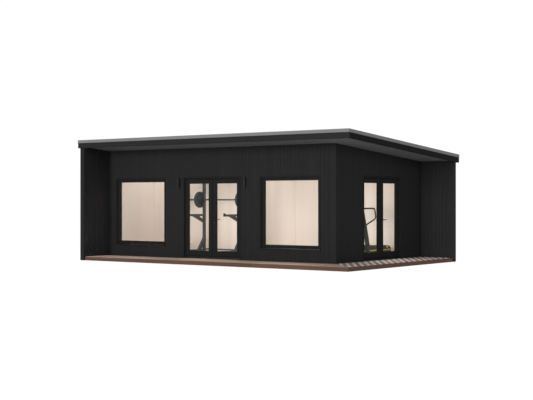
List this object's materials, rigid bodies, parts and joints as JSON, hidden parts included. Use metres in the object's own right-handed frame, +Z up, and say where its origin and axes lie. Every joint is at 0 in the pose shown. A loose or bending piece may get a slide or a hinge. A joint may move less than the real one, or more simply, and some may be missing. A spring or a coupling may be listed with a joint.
{
  "type": "garden room",
  "caption": "Dark clad garden room with a pent roof, front and side canopies over an L-shaped deck, square windows and glazed double doors, with gym kit inside.",
  "frame": {"origin": "on the ground under the middle of the roof", "axes": "+X along the front to the right, +Y to the back, +Z up; the front faces -Y"},
  "size_m": [8.015, 5.075, 3.01],
  "materials": {
    "cladding": "charcoal stained narrow vertical boards, matt",
    "corner_trim": "charcoal stained flat boards, matt",
    "structure_timber": "sawn softwood, plain",
    "floor_boards": "sealed boards, satin",
    "decking": "weathered brown decking boards, matt",
    "deck_fascia": "brown boards, matt",
    "lining": "pale birch-faced panels, satin",
    "soffit": "dark grey boards, matt",
    "roof_membrane": "dark grey rubber sheet, matt",
    "edge_trim": "mid grey powder coat, satin",
    "fascia": "dark grey coated boards, satin",
    "frame_paint": "near-black powder coat, fine texture",
    "window_glass": "clear double glazing",
    "door_glass": "clear double glazing",
    "handle_metal": "black satin coat",
    "lamp_metal": "black textured coat",
    "lamp_lens": "frosted",
    "rack_paint": "blue-grey powder coat, satin",
    "bar_steel": "knurled bar steel",
    "plate_rubber": "moulded rubber over iron",
    "treadmill_plastic": "moulded, fine texture",
    "treadmill_metal": "dark grey powder coat",
    "treadmill_belt": "ribbed running belt",
    "yellow_accent": "moulded accent strip",
    "seal_rubber": "black glazing and door seals",
    "fixing_steel": "screws and hinge pins"
  },
  "bodies": {
    "building": {"floor_base": "structure_timber", "floor_finish": "floor_boards", "deck_frame": "structure_timber", "deck_boards": "decking", "deck_fascia": "deck_fascia", "left_side_wall": "cladding", "rear_wall": "cladding", "rear_wing_wall": "cladding", "front_wall_left": "cladding", "front_wall_head": "cladding", "front_wall_right": "cladding", "right_wall_front": "cladding", "right_wall_head": "cladding", "right_wall_rear": "cladding", "corner_trims": "corner_trim", "wall_lining": "lining", "ceiling_lining": "lining", "soffit_boards": "soffit", "roof_panel": "structure_timber", "roof_covering": "roof_membrane", "roof_edge_trim": "edge_trim", "fascia_boards": "fascia", "window_frames": "frame_paint", "window_glass": "window_glass", "window_trims": "frame_paint", "front_door_frame": "frame_paint", "side_door_frame": "frame_paint", "wall_lights": "lamp_metal", "rack_sides": "rack_paint", "rack_crossbars": "rack_paint", "weight_bar": "bar_steel", "weight_plates": "plate_rubber", "treadmill_deck": "treadmill_plastic", "treadmill_frame": "treadmill_metal", "treadmill_console": "treadmill_plastic"},
    "front_left_leaf": {"front_door_left_leaf": "frame_paint", "front_door_left_glass": "door_glass"},
    "front_right_leaf": {"front_door_right_leaf": "frame_paint", "front_door_right_glass": "door_glass", "front_door_handle": "handle_metal"},
    "side_front_leaf": {"side_door_front_leaf": "frame_paint", "side_door_front_glass": "door_glass"},
    "side_rear_leaf": {"side_door_rear_leaf": "frame_paint", "side_door_rear_glass": "door_glass", "side_door_handle": "handle_metal"}
  },
  "joints": [
    {"name": "front_left_hinge", "type": "hinge", "parent": "building", "child": "front_left_leaf", "pos_m": [-1.303, -1.5365, 1.0675], "axis": [0, 0, -1], "range_deg": [0, 90]},
    {"name": "front_right_hinge", "type": "hinge", "parent": "building", "child": "front_right_leaf", "pos_m": [0.332, -1.5365, 1.0675], "axis": [0, 0, 1], "range_deg": [0, 90]},
    {"name": "side_front_hinge", "type": "hinge", "parent": "building", "child": "side_front_leaf", "pos_m": [3.0215, -0.366, 1.0675], "axis": [0, 0, -1], "range_deg": [0, 90]},
    {"name": "side_rear_hinge", "type": "hinge", "parent": "building", "child": "side_rear_leaf", "pos_m": [3.0215, 1.269, 1.0675], "axis": [0, 0, 1], "range_deg": [0, 90]}
  ]
}
